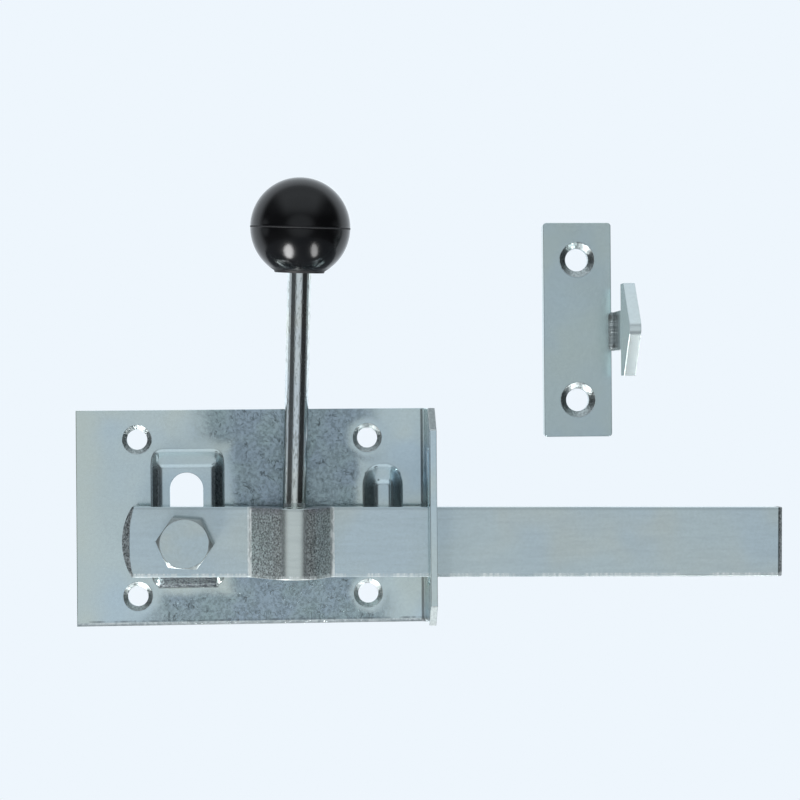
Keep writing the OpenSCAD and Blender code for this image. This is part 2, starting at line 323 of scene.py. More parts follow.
def make_lamps():
    """Two upright softboxes, low in front on either side."""
    middle = (cad_box[0] + cad_box[1]) / 2
    lamps = (("softbox_left", (-0.45, -0.38, -0.81), 0.46, 18.0, -SOFTBOX_TURN),
             ("softbox_right", (0.45, -0.39, -0.80), 0.34, 9.5, SOFTBOX_TURN))
    for name, way, width, glow, turn in lamps:
        at = middle + Vector(way) * SOFTBOX_DISTANCE
        watts = glow * math.pi * width * SOFTBOX_HEIGHT * math.pi / 4
        make_softbox(name, at, middle, width, SOFTBOX_HEIGHT, watts, turn)


def shader_group(name, inputs, outputs):
    """Empty shader node group with named inputs, given as name: first value, and named outputs, given as
    name: socket kind."""
    group = bpy.data.node_groups.new(name, "ShaderNodeTree")
    for label, value in inputs.items():
        kind = "NodeSocketFloat" if isinstance(value, float) else "NodeSocketColor"
        group.interface.new_socket(label, in_out="INPUT", socket_type=kind).default_value = value
    for label, kind in outputs.items():
        group.interface.new_socket(label, in_out="OUTPUT", socket_type=kind)
    start = group.nodes.new("NodeGroupInput")
    end = group.nodes.new("NodeGroupOutput")
    return group, start.outputs, end.inputs


def make_tint_group():
    """Faint yellow and blue clouds of the passivated zinc."""
    inputs = {"Zinc": (0.66, 0.755, 0.745, 1), "Warm": (0.7, 0.75, 0.68, 1), "Cool": (0.62, 0.74, 0.8, 1),
              "Scale": 30.0}
    group, given, result = shader_group("zinc_clouds", inputs, {"Color": "NodeSocketColor"})
    place = add(group, "ShaderNodeTexCoord").outputs["Object"]
    warm = ramp_between(group, noise_value(group, place, given["Scale"]), 0.44, 0.66)
    far = moved(group, place, (0.31, 0.17, 0.23))
    cool = ramp_between(group, noise_value(group, far, given["Scale"]), 0.44, 0.66)
    tinted = blend(group, warm, given["Zinc"], given["Warm"])
    clouded = blend(group, cool, tinted, given["Cool"])
    grain = ramp_between(group, noise_value(group, place, 900.0, 2.0, 0.6), 0.35, 0.70, 0.0, 0.07)
    group.links.new(blend(group, grain, clouded, (0.2, 0.25, 0.26, 1)), result["Color"])
    return group


def make_crinkle_group():
    """A few thin wandering creases, as a rolled sheet has them under its plating; the sheet is dented along
    them, and they are darkened in its colour as painted shade.
    """
    inputs = {"Scale": 150.0, "Kept": 0.50}
    group, given, result = shader_group("crinkle", inputs, {"Creases": "NodeSocketFloat"})
    place = add(group, "ShaderNodeTexCoord").outputs["Object"]
    level = noise_value(group, place, given["Scale"], 2.0, 0.55, 1.5)
    wave = calc(group, "PINGPONG", calc(group, "MULTIPLY", level, 5.0), 1.0)
    away = calc(group, "ABSOLUTE", calc(group, "SUBTRACT", wave, 0.5))
    line = ramp_between(group, away, 0.12, 0.0)
    far = moved(group, place, (0.13, 0.29, 0.07))
    kept = noise_value(group, far, calc(group, "MULTIPLY", given["Scale"], 1.6), 1.0)
    over = calc(group, "MULTIPLY", calc(group, "SUBTRACT", kept, given["Kept"]), 14.0, clamp=True)
    group.links.new(calc(group, "MULTIPLY", line, over), result["Creases"])
    return group


def make_grain_group():
    """Sparkling grain of scale-marked steel under thin zinc."""
    group, given, result = shader_group("grain", {"Scale": 1500.0}, {"Grain": "NodeSocketFloat"})
    place = add(group, "ShaderNodeTexCoord").outputs["Object"]
    level = noise_value(group, place, given["Scale"], 2.0, 0.6)
    group.links.new(ramp_between(group, level, 0.36, 0.66), result["Grain"])
    return group


def principled(name, **sockets):
    """New material with one shader, whose sockets are named with an underscore for a space."""
    material = bpy.data.materials.new(name)
    material.use_nodes = True
    tree = material.node_tree
    tree.nodes.clear()
    shader = add(tree, "ShaderNodeBsdfPrincipled", {k.replace("_", " "): v for k, v in sockets.items()})
    add(tree, "ShaderNodeOutputMaterial", {"Surface": shader.outputs[0]})
    return material, tree, shader


def clouds(tree, zinc, warm, cool, scale):
    """Colour of clouded zinc."""
    inputs = {"Zinc": zinc, "Warm": warm, "Cool": cool, "Scale": scale}
    return add(tree, "ShaderNodeGroup", inputs, node_tree=TINT).outputs["Color"]


def grain_value(tree, scale):
    """Value of the steel's grain, finer with a larger scale."""
    return add(tree, "ShaderNodeGroup", {"Scale": scale}, node_tree=GRAIN).outputs["Grain"]


def dented(tree, shader, height, depth):
    """Bump of the given depth, in millimetres, on a shader."""
    bump = add(tree, "ShaderNodeBump", {"Strength": 1.0, "Distance": depth * MM, "Height": height})
    tree.links.new(bump.outputs["Normal"], shader.inputs["Normal"])


def box_gap(tree, x, z, middle_x, half_w, half_h):
    """Distance outside an upright box round a place on the plate, in metres."""
    from_middle = calc(tree, "ABSOLUTE", calc(tree, "SUBTRACT", x, middle_x * MM))
    aside = calc(tree, "SUBTRACT", from_middle, half_w * MM)
    above = calc(tree, "SUBTRACT", calc(tree, "ABSOLUTE", z), half_h * MM)
    return most(tree, aside, above)


def hole_gap(tree, x, z):
    """Distance from the middle of the nearest fixing hole of the plate, in metres."""
    aside = calc(tree, "SUBTRACT", calc(tree, "ABSOLUTE", x), HOLE_X * MM)
    above = calc(tree, "SUBTRACT", calc(tree, "ABSOLUTE", z), HOLE_Z * MM)
    return length_of(tree, aside, above)


def crinkled_part(tree, place, x, z):
    """1 where the base plate's sheet is crinkled, and 0 where the press tools ironed it smooth."""
    drift = calc(tree, "SUBTRACT", noise_value(tree, place, 60.0, 3.0), 0.5)
    x = calc(tree, "MULTIPLY_ADD", drift, 9 * MM, x)
    z = calc(tree, "MULTIPLY_ADD", drift, 6 * MM, z)
    upper = band(tree, x, -30, -14, 46, 60)
    lower = times(tree, ramp_between(tree, z, -29 * MM, -36 * MM), band(tree, x, -56, -34, 52, 66))
    off_boss = ramp_between(tree, box_gap(tree, x, z, BOSS["x"], 15.6, 29.0), 0.5 * MM, 7.0 * MM)
    off_rib = ramp_between(tree, box_gap(tree, x, z, RIB["x"], 8.6, 21.5), 0.0 * MM, 6.0 * MM)
    off_hole = ramp_between(tree, hole_gap(tree, x, z), 6.5 * MM, 10.5 * MM)
    return times(tree, most(tree, upper, lower), off_boss, off_rib, off_hole)


def painted_wall_shade(tree, x, z, form):
    """1 on the steep side walls of a pressed form, where shade is painted into the sheet's colour and its
    finish is duller.
    """
    aside = calc(tree, "ABSOLUTE", calc(tree, "SUBTRACT", x, form["x"] * MM))
    top, foot = form["half_w"], form["half_w"] + form["side"]["run"]
    across = band(tree, aside, top + 1.0, top + 3.0, foot - 1.5, foot - 0.5)
    end = form["half_h"]
    up_to_end = ramp_between(tree, calc(tree, "ABSOLUTE", z), (end + 4.5) * MM, (end - 0.5) * MM)
    return times(tree, across, up_to_end)


def ironed_zinc(tree, x):
    """Colour of the sheet where it is smooth, warmer towards its left edge."""
    smooth = clouds(tree, (0.675, 0.785, 0.79, 1), (0.705, 0.787, 0.745, 1), (0.628, 0.765, 0.835, 1), 26.0)
    edge_tint = ramp_between(tree, x, -60 * MM, -76 * MM, 0.0, 0.45)
    return blend(tree, edge_tint, smooth, (0.72, 0.79, 0.715, 1))


def crinkled_zinc(tree, creases, specks):
    """Colour of the sheet where it is crinkled: dull and specked, with painted shade in its creases."""
    dull = clouds(tree, (0.435, 0.54, 0.575, 1), (0.425, 0.54, 0.555, 1), (0.425, 0.525, 0.60, 1), 75.0)
    mottled = blend(tree, times(tree, specks, 0.55), dull, (0.19, 0.245, 0.265, 1))
    # Painted shade: the creases are darkened in the colour, besides their real dents in the bump
    return blend(tree, times(tree, creases, 0.85), mottled, (0.08, 0.105, 0.115, 1))


def lower_edge_light_and_shade(tree, place, z, specks, flat):
    """Colour of the flat sheet with painted light on its rolled lower edge: a pale painted highlight on the
    roll, under a broken dark line of painted shade.
    """
    # Painted highlight: below the start of the roll the sheet is made paler
    rolled = ramp_between(tree, z, -45.0 * MM, -45.5 * MM)
    pale = blend(tree, specks, (0.80, 0.86, 0.86, 1), (0.55, 0.62, 0.63, 1))
    edged = blend(tree, rolled, flat, pale)
    # Painted shade: a broken dark line where the roll starts
    along = noise_value(tree, moved(tree, place, scale=(1, 0, 0)), 170.0, 4.0, 0.6)
    broken = times(tree, ramp_between(tree, along, 0.38, 0.62), band(tree, z, -45.5, -45.0, -44.7, -44.2))
    return blend(tree, times(tree, broken, 0.6), edged, (0.12, 0.14, 0.15, 1))


def cut_corners(tree, y, z):
    """1 on the flange's cut corners, less a little zinc."""
    corner = (PLATE_HALF_H + FLANGE_DEPTH - FLANGE_CORNER) * MM
    past_corner = calc(tree, "SUBTRACT", calc(tree, "SUBTRACT", calc(tree, "ABSOLUTE", z), y), corner)
    return ramp_between(tree, past_corner, -0.7 * MM, -0.3 * MM, 0.0, 0.8)


def zinc_sheet():
    """Plated sheet: smooth where the press held it, crinkled between, with rubbed countersinks, painted shade
    on the walls of the pressed forms and under the bar, and painted light on its rolled lower edge.
    """
    material, tree, shader = principled("zinc_sheet")
    place, x, y, z = object_place(tree)
    part = crinkled_part(tree, place, x, z)
    creases = add(tree, "ShaderNodeGroup", node_tree=CRINKLE).outputs["Creases"]
    specks = grain_value(tree, 850.0)
    grain = grain_value(tree, 1150.0)
    flat = blend(tree, part, ironed_zinc(tree, x), crinkled_zinc(tree, creases, specks))
    flat = lower_edge_light_and_shade(tree, place, z, specks, flat)
    in_front = ramp_between(tree, y, -1.2 * MM, -1.7 * MM)
    sunk = times(tree, ramp_between(tree, hole_gap(tree, x, z), 6.5 * MM, 6.2 * MM), in_front)
    # Painted shade: the lower end slope of the boss, under the bar, takes the dark colour, with dents of
    # grain
    from_boss = calc(tree, "ABSOLUTE", calc(tree, "SUBTRACT", x, BOSS["x"] * MM))
    boss_width = ramp_between(tree, from_boss, 13.5 * MM, 12.0 * MM)
    under = times(tree, boss_width, band(tree, z, -31.0, -30.0, -21.4, -20.4))
    # Painted shade on the side walls of the boss and, less strongly, of the rib
    walls = calc(tree, "MULTIPLY_ADD", painted_wall_shade(tree, x, z, RIB), 0.75, painted_wall_shade(tree, x, z, BOSS))
    sunk_and_shaded = most(tree, sunk, under, walls)
    # Painted shade: the dark colour of the walls and of the slope under the bar; the countersinks take the
    # drilled grey instead
    dark = blend(tree, grain, (0.045, 0.053, 0.06, 1), (0.21, 0.24, 0.25, 1))
    drilled = blend(tree, grain, (0.30, 0.34, 0.34, 1), (0.52, 0.58, 0.58, 1))
    plated = blend(tree, sunk_and_shaded, flat, blend(tree, sunk, dark, drilled))
    sheared = cut_corners(tree, y, z)
    raw = blend(tree, grain, (0.40, 0.44, 0.44, 1), (0.58, 0.63, 0.62, 1))
    tree.links.new(blend(tree, sheared, plated, raw), shader.inputs["Base Color"])
    mirrored = most(tree, ramp_between(tree, sheared, 0.0, 1.0, MIRRORED, 0.0), sunk)
    tree.links.new(mirrored, shader.inputs["Metallic"])
    dullness = calc(tree, "MULTIPLY_ADD", part, 0.08, calc(tree, "MULTIPLY_ADD", sunk_and_shaded, 0.16, 0.15))
    tree.links.new(dullness, shader.inputs["Roughness"])
    relief = times(tree, calc(tree, "MULTIPLY_ADD", creases, -1.0, specks), part)
    rubbed = times(tree, grain, most(tree, sunk, under))
    dented(tree, shader, calc(tree, "MULTIPLY_ADD", rubbed, 2.5, relief), 0.035)
    return material


def strip(tree, value, middle, half):
    """1 within half a width of a middle line, in millimetres, and 0 outside it."""
    away = calc(tree, "ABSOLUTE", calc(tree, "SUBTRACT", value, middle * MM))
    return ramp_between(tree, away, half * MM, half / 2 * MM)


def tail_middle():
    """Middle of the wide curve that the bevel on the bar's tail follows, as x and z in millimetres."""
    x = TAIL_EDGE + TAIL_CURVE
    return x, -PIVOT_DROP - (x - BOSS["x"]) * math.tan(BAR_DROP)


def tail_bevel(tree, x, z):
    """1 on the bevel of the bar's tail."""
    middle_x, middle_z = tail_middle()
    aside = calc(tree, "SUBTRACT", x, middle_x * MM)
    above = calc(tree, "SUBTRACT", z, middle_z * MM)
    out = length_of(tree, aside, above)
    past_edge = ramp_between(tree, out, (TAIL_CURVE - 0.2) * MM, (TAIL_CURVE + 0.4) * MM)
    return times(tree, past_edge, ramp_between(tree, x, -30 * MM, -35 * MM))


def rolled_zinc(tree, place, from_hump, level):
    """Colour of the bar's smooth faces: faint streaks, a painted highlight on the hump's crest and a darker
    upper edge.
    """
    smooth = clouds(tree, (0.62, 0.725, 0.74, 1), (0.645, 0.722, 0.70, 1), (0.598, 0.716, 0.765, 1), 24.0)
    # Painted highlight: the crest of the hump is made paler
    smooth = blend(tree, band(tree, from_hump, -6.0, -3.0, 3.0, 6.0), smooth, (0.71, 0.77, 0.735, 1))
    drawn_out = moved(tree, place, scale=(0.12, 1, 1))
    streaks = ramp_between(tree, noise_value(tree, drawn_out, 420.0, 4.0, 0.65), 0.35, 0.70)
    smooth = blend(tree, times(tree, streaks, 0.14), smooth, (0.36, 0.42, 0.44, 1))
    upper_edge = ramp_between(tree, level, 12.9 * MM, 13.9 * MM, 0.0, 0.35)
    return blend(tree, upper_edge, smooth, (0.34, 0.40, 0.41, 1))


def scaled_zinc(tree, z, grain, slopes, tail):
    """Colour of the bar's rough faces: the hump's slopes, purple at the top, the ground tail and the sawn
    end."""
    purple = ramp_between(tree, z, 1.5 * MM, 4.5 * MM)
    light = blend(tree, purple, (0.78, 0.86, 0.86, 1), (0.52, 0.52, 0.58, 1))
    sparkling = blend(tree, grain, (0.20, 0.225, 0.225, 1), light)
    sawn = blend(tree, grain, (0.08, 0.09, 0.09, 1), (0.34, 0.37, 0.36, 1))
    ground = blend(tree, grain, (0.08, 0.09, 0.095, 1), (0.48, 0.53, 0.54, 1))
    return blend(tree, slopes, blend(tree, tail, sawn, ground), sparkling)


def bar_highlights(tree, place, from_hump, level):
    """1 where highlights are painted on the bar: broken lines on the feet of its hump, and dots along its
    lower edge.
    """
    feet = most(tree, strip(tree, from_hump, -18.9, 1.2), strip(tree, from_hump, 16.3, 1.2))
    foot_noise = noise_value(tree, moved(tree, place, scale=(1, 0.4, 0.4)), 620.0, 3.0, 0.6)
    foot_glints = times(tree, feet, ramp_between(tree, foot_noise, 0.46, 0.58, 0.5, 1.0))
    along = moved(tree, place, scale=(1, 0, 0))
    edge_stretches = ramp_between(tree, noise_value(tree, along, 55.0, 4.0, 0.6), 0.40, 0.52)
    dots = ramp_between(tree, noise_value(tree, along, 700.0, 2.0, 0.6), 0.40, 0.60, 0.25, 1.0)
    dotted = times(tree, ramp_between(tree, level, -13.4 * MM, -14.0 * MM), edge_stretches, dots, 0.8)
    return most(tree, foot_glints, dotted)


def zinc_bar():
    """Plated flat bar: smooth faces, rough slopes and ends, and painted highlights: lines on the hump's feet,
    dots along the lower edge and glints in the grain.
    """
    material, tree, shader = principled("zinc_bar")
    place, x, y, z = object_place(tree)
    from_hump = calc(tree, "SUBTRACT", x, HUMP_X * MM)
    level = calc(tree, "MULTIPLY_ADD", x, math.tan(BAR_DROP), calc(tree, "ADD", z, PIVOT_DROP * MM))
    ahead = band(tree, from_hump, 3.2, 6.4, 15.2, 16.2)
    slopes = calc(tree, "ADD", ahead, band(tree, from_hump, -18.8, -17.8, -6.4, -3.2))
    tail = tail_bevel(tree, x, z)
    end = ramp_between(tree, x, 227.6 * MM, 228.2 * MM)
    rough_part = most(tree, slopes, tail, end)
    grain = grain_value(tree, 1300.0)
    smooth = rolled_zinc(tree, place, from_hump, level)
    plated = blend(tree, rough_part, smooth, scaled_zinc(tree, z, grain, slopes, tail))
    # Painted glints: bright flecks in the grain of the slopes and the tail
    bright = ramp_between(tree, noise_value(tree, place, 1500.0, 3.0, 0.6), 0.46, 0.68)
    sparkle = times(tree, bright, most(tree, slopes, times(tree, tail, 0.4)),
                    calc(tree, "MULTIPLY_ADD", ahead, 0.1, 0.4))
    painted_highlights = most(tree, bar_highlights(tree, place, from_hump, level), sparkle)
    # Painted highlights take a pale colour and less metal
    tree.links.new(blend(tree, painted_highlights, plated, (0.74, 0.79, 0.78, 1)), shader.inputs["Base Color"])
    tree.links.new(ramp_between(tree, painted_highlights, 0.0, 1.0, MIRRORED, 0.2), shader.inputs["Metallic"])
    low_edge = ramp_between(tree, level, -13.9 * MM, -14.5 * MM, 0.0, 0.22)
    dullness = most(tree, ramp_between(tree, rough_part, 0.0, 1.0, 0.0, 0.19), low_edge)
    tree.links.new(calc(tree, "ADD", dullness, 0.15), shader.inputs["Roughness"])
    dented(tree, shader, times(tree, grain, rough_part), 0.05)
    return material


def zinc_rod():
    """Bright drawn rod, with short dark draw marks along it."""
    material, tree, shader = principled("zinc_rod", Metallic=0.97)
    place, x, y, z = object_place(tree)
    smooth = clouds(tree, (0.85, 0.91, 0.91, 1), (0.86, 0.90, 0.85, 1), (0.82, 0.89, 0.92, 1), 60.0)
    marks = noise_value(tree, moved(tree, place, scale=(1, 1, 0.3)), 950.0, 3.0, 0.6)
    drawn = ramp_between(tree, marks, 0.48, 0.66)
    marked = blend(tree, times(tree, drawn, 0.5), smooth, (0.30, 0.31, 0.28, 1))
    tree.links.new(marked, shader.inputs["Base Color"])
    tree.links.new(ramp_between(tree, drawn, 0.0, 1.0, 0.09, 0.22), shader.inputs["Roughness"])
    dented(tree, shader, drawn, -0.015)
    return material


def zinc_bolt():
    """Plated bolt, with painted shade outside the flat of its head, which is also duller there."""
    material, tree, shader = principled("zinc_bolt", Metallic=MIRRORED)
    smooth = clouds(tree, (0.61, 0.705, 0.705, 1), (0.635, 0.702, 0.67, 1), (0.583, 0.695, 0.73, 1), 60.0)
    place, x, y, z = object_place(tree)
    fine = grain_value(tree, 500.0)
    aside = calc(tree, "SUBTRACT", x, BOSS["x"] * MM)
    above = calc(tree, "ADD", z, PIVOT_DROP * MM)
    # Painted shade: beyond the flat of the head, its chamfer and corners are darkened in the colour
    rim = ramp_between(tree, length_of(tree, aside, above), 10.0 * MM, 10.4 * MM)
    plain = blend(tree, times(tree, fine, 0.15), smooth, (0.45, 0.52, 0.52, 1))
    tree.links.new(blend(tree, rim, plain, (0.36, 0.41, 0.41, 1)), shader.inputs["Base Color"])
    tree.links.new(calc(tree, "MULTIPLY_ADD", rim, 0.22, 0.16), shader.inputs["Roughness"])
    return material


def zinc_keeper(name, zinc, warm, cool):
    """Plated flat steel of the keeper, with rubbed countersinks and a shaded neck behind the hook."""
    material, tree, shader = principled(name)
    place, x, y, z = object_place(tree)
    smooth = clouds(tree, zinc, warm, cool, 30.0)
    grain = grain_value(tree, 1150.0)
    aside = calc(tree, "SUBTRACT", x, KEEPER_X * MM)
    from_middle = calc(tree, "ABSOLUTE", calc(tree, "SUBTRACT", z, KEEPER_Z * MM))
    to_hole = length_of(tree, aside, calc(tree, "SUBTRACT", from_middle, KEEPER_HOLE * MM))
    in_front = ramp_between(tree, y, -2.6 * MM, -3.2 * MM)
    sunk = times(tree, ramp_between(tree, to_hole, 7.8 * MM, 7.5 * MM), in_front)
    grey = blend(tree, grain, (0.32, 0.36, 0.36, 1), (0.54, 0.60, 0.60, 1))
    on_hook = ramp_between(tree, x, 158.0 * MM, 158.2 * MM)
    neck = times(tree, ramp_between(tree, y, -21.5 * MM, -19.0 * MM), on_hook, 0.8)
    plain = blend(tree, neck, smooth, (0.20, 0.23, 0.24, 1))
    tree.links.new(blend(tree, sunk, plain, grey), shader.inputs["Base Color"])
    tree.links.new(calc(tree, "MULTIPLY_ADD", sunk, 0.13, 0.17), shader.inputs["Roughness"])
    tree.links.new(most(tree, sunk, MIRRORED), shader.inputs["Metallic"])
    dented(tree, shader, times(tree, grain, sunk), 0.05)
    return material


def weld_metal():
    """Dull weld under thin zinc, with sooty patches."""
    material, tree, shader = principled("weld_metal", Metallic=MIRRORED)
    place, x, y, z = object_place(tree)
    lumps = noise_value(tree, place, 900.0, 3.0, 0.6)
    soot = ramp_between(tree, noise_value(tree, place, 420.0, 2.0), 0.42, 0.62)
    sooty = blend(tree, soot, (0.36, 0.41, 0.42, 1), (0.17, 0.19, 0.19, 1))
    tree.links.new(sooty, shader.inputs["Base Color"])
    tree.links.new(ramp_between(tree, lumps, 0.3, 0.7, 0.50, 0.65), shader.inputs["Roughness"])
    dented(tree, shader, lumps, 0.15)
    return material


def black_plastic(middle, axis):
    """Glossy black moulding, duller round its foot and along the line where the mould halves met."""
    material, tree, shader = principled("black_plastic", IOR=1.43)
    place, x, y, z = object_place(tree)
    haze = ramp_between(tree, noise_value(tree, place, 55.0, 3.0), 0.40, 0.70)
    from_middle = add(tree, "ShaderNodeVectorMath", {0: place, 1: middle}, operation="SUBTRACT").outputs[0]
    along = add(tree, "ShaderNodeVectorMath", {0: from_middle, 1: axis}, operation="DOT_PRODUCT")
    level = along.outputs["Value"]
    seam = ramp_between(tree, calc(tree, "ABSOLUTE", level), 0.40 * MM, 0.25 * MM)
    black = blend(tree, haze, (0.0025, 0.0025, 0.003, 1), (0.005, 0.005, 0.0055, 1))
    tree.links.new(blend(tree, seam, black, (0.02, 0.02, 0.022, 1)), shader.inputs["Base Color"])
    gloss = ramp_between(tree, haze, 0.0, 1.0, 0.15, 0.19)
    foot = ramp_between(tree, level, -16.0 * MM, -18.2 * MM)
    dull = most(tree, times(tree, seam, 0.5), times(tree, foot, 0.35))
    tree.links.new(calc(tree, "ADD", dull, gloss), shader.inputs["Roughness"])
    return material


def merged_copy(node):
    """Working copy of a solid, with its loose triangles joined to whole faces."""
    work = bmesh.new()
    work.from_mesh(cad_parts[node].data)
    bmesh.ops.remove_doubles(work, verts=work.verts, dist=0.002 * MM)
    bmesh.ops.dissolve_limit(work, angle_limit=math.radians(0.6), verts=work.verts, edges=work.edges)
    return work


def make_piece(work, name, material):
    """Object from a working mesh, smooth apart from its sharp edges."""
    mesh = bpy.data.meshes.new(name)
    work.to_mesh(mesh)
    work.free()
    mesh.materials.clear()
    mesh.materials.append(material)
    mesh.shade_smooth()
    piece = bpy.data.objects.new(name, mesh)
    bpy.context.scene.collection.objects.link(piece)
    return piece


def even_shading(piece):
    """Keeps flat faces looking flat beside small edge faces."""
    weighted = piece.modifiers.new("flat_faces_stay_flat", "WEIGHTED_NORMAL")
    weighted.keep_sharp = True


def place_piece(piece, node, body):
    """Puts a piece in place of a solid, on its body."""
    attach(piece, body)
    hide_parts(node)


def cut_away(piece, cutters, material):
    """Cuts a working mesh out of a piece."""
    cutter = make_piece(cutters, "cutter", material)
    cut = piece.modifiers.new("cut", "BOOLEAN")
    cut.operation = "DIFFERENCE"
    cut.solver = "EXACT"
    cut.object = cutter
    whole = bpy.data.meshes.new_from_object(piece.evaluated_get(bpy.context.evaluated_depsgraph_get()))
    piece.modifiers.clear()
    bpy.data.objects.remove(cutter)
    piece.data = whole


def edged_copy(node, name, body, material, edge, steps=3, sharp=30, cutters=None):
    """Copy of a solid with its edges broken, as the real piece has them, in place of the plain solid. What
    the cutters hold is cut off it afterwards."""
    piece = make_piece(merged_copy(node), name, material)
    bevel = piece.modifiers.new("broken_edges", "BEVEL")
    bevel.width = edge * MM
    bevel.segments = steps
    bevel.limit_method = "ANGLE"
    bevel.angle_limit = math.radians(sharp)
    if cutters:
        cut_away(piece, cutters, material)
        piece.data.set_sharp_from_angle(angle=math.radians(sharp))
    even_shading(piece)
    place_piece(piece, node, body)
    return piece


def stack(outline, levels, place):
    """Closed working mesh from rings: outline(offset) gives a ring's points, and levels are pairs of height
    and offset."""
    work = bmesh.new()
    rings = [[work.verts.new(place(u, v, height)) for u, v in outline(offset)] for height, offset in levels]
    count = len(rings[0])
    for low, high in zip(rings, rings[1:]):
        for i in range(count):
            j = (i + 1) % count
            work.faces.new((low[i], low[j], high[j], high[i]))
    work.faces.new(rings[0])
    work.faces.new(rings[-1])
    bmesh.ops.recalc_face_normals(work, faces=work.faces)
    return work


def ring(count):
    """Outline of a circle whose offset is its radius."""
    turns = [2 * math.pi * i / count for i in range(count)]
    return lambda r: [(r * math.cos(a), r * math.sin(a)) for a in turns]


def rounded(half_w, half_h, r, steps):
    """Outline of a rectangle with round corners, grown by the offset."""
    corners = ((1, 1, 0), (-1, 1, 1), (-1, -1, 2), (1, -1, 3))

    def points(offset):
        return [(sx * (half_w - r) + (r + offset) * math.cos(quarter * math.pi / 2 + a),
                 sz * (half_h - r) + (r + offset) * math.sin(quarter * math.pi / 2 + a))
                for sx, sz, quarter in corners for a in spread(0, math.pi / 2, steps)]
    return points


def wall_height(share, wall, inset):
    """Height of a pressed wall at a share of its run out from the flat top. The inset is the sheet's
    thickness for the back, and 0 for the front."""
    shoulder, foot, slope = wall["shoulder"] - inset, wall["foot"] + inset, wall["slope"]
    run = share * wall["run"]
    left = wall["run"] - run
    if run <= 0:
        return PRESS_RISE
    if left <= 0:
        return 0.0
    if run < shoulder * math.sin(slope):
        return PRESS_RISE - shoulder + math.sqrt(shoulder ** 2 - run ** 2)
    if left < foot * math.sin(slope):
        return foot - math.sqrt(foot ** 2 - left ** 2)
    return foot * (1 - math.cos(slope)) + (left - foot * math.sin(slope)) * math.tan(slope)


def pressed(x, z, inset):
    """Height of the boss or the rib at a place on the plate, with rounded corners."""
    heights = []
    for form in (BOSS, RIB):
        side = max(0.0, abs(x - form["x"]) - form["half_w"]) / form["side"]["run"]
        end = max(0.0, abs(z) - form["half_h"]) / form["end"]["run"]
        power = form["corner"]
        total = side ** power + end ** power
        share = total ** (1 / power)
        endwards = end ** power / total if total else 0.0
        beside = wall_height(share, form["side"], inset)
        heights.append(beside + endwards * (wall_height(share, form["end"], inset) - beside))
    return max(heights)


def wall_steps(wall):
    """Distances out from a flat top at which a pressed wall is drawn, close together where it bends."""
    turns = spread(0, wall["slope"], 8)
    shoulder, foot, run = wall["shoulder"], wall["foot"], wall["run"]
    steps = [shoulder * math.sin(a) for a in turns] + [run - foot * math.sin(a) for a in turns]
    steps += [run - (foot + SHEET) * math.sin(a) for a in turns[2::2]]
    return steps + spread(shoulder * math.sin(wall["slope"]), run - foot * math.sin(wall["slope"]), 5)


def drawn_lines(lines, closest, widest):
    """Sorted lines without near doubles, and with more where they lie far apart."""
    kept = []
    for line in sorted(lines):
        if not kept or line - kept[-1] >= closest:
            kept.append(line)
    kept[-1] = max(lines)
    full = []
    for low, high in zip(kept, kept[1:]):
        full += spread(low, high, 2 + int((high - low) / widest))[:-1]
    return full + kept[-1:]


def plate_stations():
    """Places along the sheet, from its left edge to the front edge of the flange: the front's x and depth,
    the normal's x and depth, half the height, and the way that the top edge faces."""
    across = [PLATE_LEFT + EDGE_ROLL[0], BEND_X]
    for form in (BOSS, RIB):
        for step in wall_steps(form["side"]):
            across += [form["x"] - form["half_w"] - step, form["x"] + form["half_w"] + step]
    stations = [(x, SHEET, 0.0, 1.0, PLATE_HALF_H, (0.0, 1.0)) for x in drawn_lines(across, 0.12, 7.0)]
    for turn in spread(0, math.pi / 2, 11)[1:]:
        side, out = math.sin(turn), math.cos(turn)
        x, depth = BEND_X + BEND_R * side, SHEET + BEND_R * (1 - out)
        stations.append((x, depth, -side, out, PLATE_HALF_H, (0.0, 1.0)))
    inner = PLATE_RIGHT - SHEET
    slant = math.tan(math.pi / 8)
    corner = FLANGE_DEPTH - FLANGE_CORNER
    for depth in spread(SHEET + BEND_R, corner - slant * EDGE_ROLL[0], 5)[1:-1]:
        stations.append((inner, depth, -1.0, 0.0, PLATE_HALF_H, (0.0, 1.0)))
    stations.append((inner, corner - slant * EDGE_ROLL[0], -1.0, 0.0, PLATE_HALF_H, (slant, 1.0)))
    for depth in spread(corner, FLANGE_DEPTH - EDGE_ROLL[0], 5)[1:]:
        half = PLATE_HALF_H - (depth - corner) - (math.sqrt(2) - 1) * EDGE_ROLL[0]
        stations.append((inner, depth, -1.0, 0.0, half, (math.sqrt(0.5), math.sqrt(0.5))))
    return stations


def plate_heights():
    """Heights of the lines along the sheet, from the lower edge to the upper one."""
    up = [LOWER_ROLL[0] - PLATE_HALF_H, PLATE_HALF_H - EDGE_ROLL[0]]
    for form in (BOSS, RIB):
        for step in wall_steps(form["end"]):
            up += [-form["half_h"] - step, form["half_h"] + step]
    return drawn_lines(up, 0.15, 7.0)


def roll_at(depth, below):
    """Roll of the sheet's edge: the slow one below, as far as the flange's cut corner, and the short one
    elsewhere."""
    before_corner = depth < FLANGE_DEPTH - FLANGE_CORNER - EDGE_ROLL[0]
    return LOWER_ROLL if below and before_corner else EDGE_ROLL


